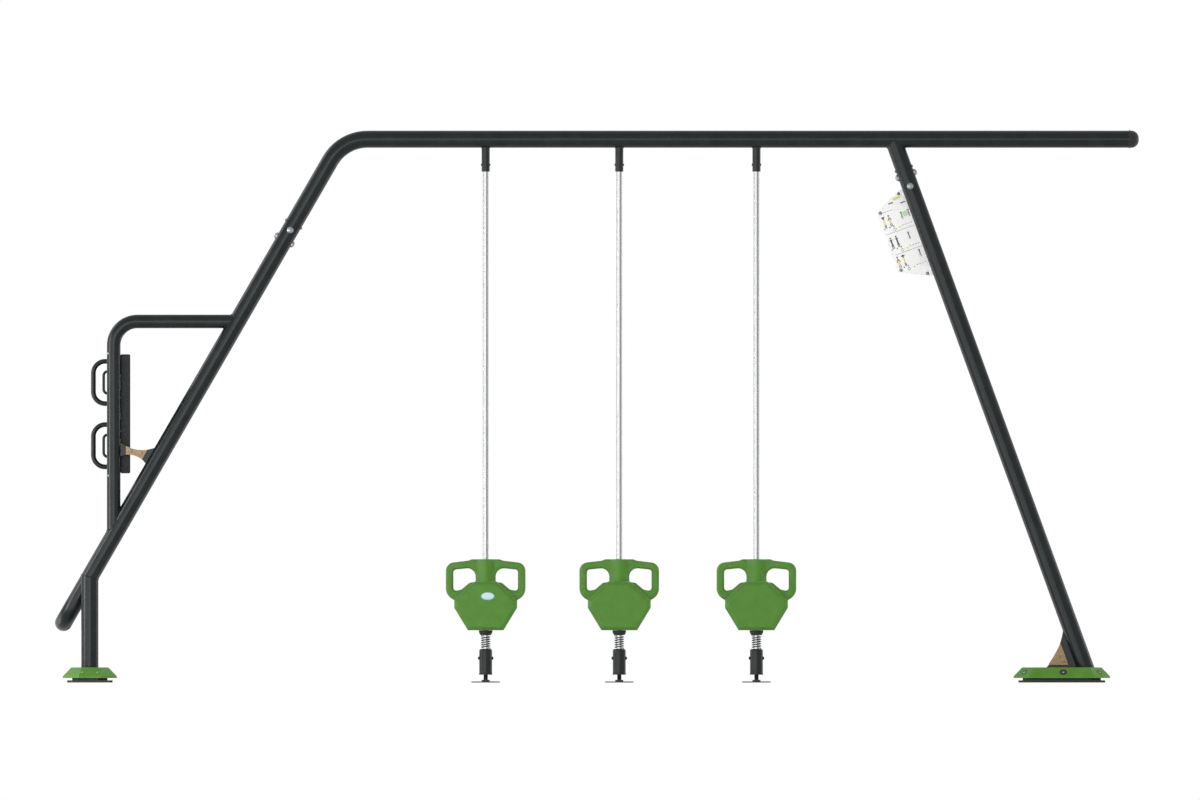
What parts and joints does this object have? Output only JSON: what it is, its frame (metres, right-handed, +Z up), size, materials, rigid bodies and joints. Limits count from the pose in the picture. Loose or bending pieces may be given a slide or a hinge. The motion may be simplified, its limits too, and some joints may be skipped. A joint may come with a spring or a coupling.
{
  "type": "outdoor fitness station",
  "caption": "Outdoor fitness station: a long top bar on splayed legs, sliding two-handled weights on guide rods, and a grip board with a foot bar at one end.",
  "frame": {"origin": "middle of the overall box, on the ground", "axes": "+Z up, +X along the top bar from the grip frame to the free end, +Y from the main frame to the rear frame"},
  "size_m": [4.7871, 0.939, 2.44],
  "materials": {
    "dark_coated_steel": "satin powder coat",
    "black_coated_steel": "satin powder coat",
    "stainless_steel": "brushed",
    "dark_plastic": "fine grain",
    "green_plastic": "satin",
    "green_rubber": "matt moulded",
    "black_rubber": "matt",
    "bush_plastic": "smooth",
    "light_wood": "oiled",
    "white_board": "satin laminate"
  },
  "bodies": {
    "frame": {"arm_saddles": "dark_coated_steel", "board_bolts": "stainless_steel", "board_saddles": "dark_coated_steel", "buffer_1": "black_rubber", "buffer_2": "black_rubber", "buffer_3": "black_rubber", "cross_tube": "dark_coated_steel", "flange_bolts": "stainless_steel", "foot_bar": "dark_coated_steel", "front_anchor_plate": "black_coated_steel", "front_cover": "green_plastic", "front_grip_frame": "dark_coated_steel", "front_post": "dark_coated_steel", "grip_board": "dark_plastic", "grip_gusset_inlays": "light_wood", "grip_gussets": "dark_coated_steel", "guide_rod_1": "stainless_steel", "guide_rod_2": "stainless_steel", "guide_rod_3": "stainless_steel", "hanger_sleeves": "black_coated_steel", "info_board": "white_board", "info_board_tabs": "dark_coated_steel", "joint_bolts": "stainless_steel", "left_leg": "dark_coated_steel", "left_spigot": "dark_coated_steel", "leg_anchor_plate": "black_coated_steel", "leg_cover": "green_plastic", "leg_flange": "black_coated_steel", "leg_gusset": "dark_coated_steel", "leg_gusset_inlays": "light_wood", "leg_stub": "dark_coated_steel", "lower_band_loop": "dark_coated_steel", "lower_front_grip": "dark_coated_steel", "lower_rear_grip": "dark_coated_steel", "post_flanges": "black_coated_steel", "rear_anchor_plate": "black_coated_steel", "rear_cover": "green_plastic", "rear_grip_frame": "dark_coated_steel", "rear_post": "dark_coated_steel", "right_leg": "dark_coated_steel", "right_spigot": "dark_coated_steel", "rod_feet": "black_coated_steel", "socket_1": "black_coated_steel", "socket_2": "black_coated_steel", "socket_3": "black_coated_steel", "spring_1": "stainless_steel", "spring_2": "stainless_steel", "spring_3": "stainless_steel", "top_bar": "dark_coated_steel", "top_bar_cap": "dark_plastic", "upper_band_loop": "dark_coated_steel", "upper_front_grip": "dark_coated_steel", "upper_rear_grip": "dark_coated_steel"},
    "carriage_1": {"carriage_1": "bush_plastic"},
    "carriage_2": {"carriage_2": "bush_plastic"},
    "carriage_3": {"carriage_3": "bush_plastic"},
    "weight_1": {"weight_casing_1": "green_rubber"},
    "weight_2": {"weight_casing_2": "green_rubber"},
    "weight_3": {"weight_casing_3": "green_rubber"}
  },
  "joints": [
    {"name": "weight_1_slide", "type": "slide", "parent": "frame", "child": "carriage_1", "axis": [0, 0, 1], "range_m": [0, 1.71]},
    {"name": "weight_1_turn", "type": "hinge", "parent": "carriage_1", "child": "weight_1", "pos_m": [-0.49097, -0.35, 0.388], "axis": [0, 0, 1], "continuous": true},
    {"name": "weight_2_slide", "type": "slide", "parent": "frame", "child": "carriage_2", "axis": [0, 0, 1], "range_m": [0, 1.71]},
    {"name": "weight_2_turn", "type": "hinge", "parent": "carriage_2", "child": "weight_2", "pos_m": [0.09903, -0.35, 0.388], "axis": [0, 0, 1], "continuous": true},
    {"name": "weight_3_slide", "type": "slide", "parent": "frame", "child": "carriage_3", "axis": [0, 0, 1], "range_m": [0, 1.71]},
    {"name": "weight_3_turn", "type": "hinge", "parent": "carriage_3", "child": "weight_3", "pos_m": [0.70503, -0.35, 0.388], "axis": [0, 0, 1], "continuous": true}
  ]
}
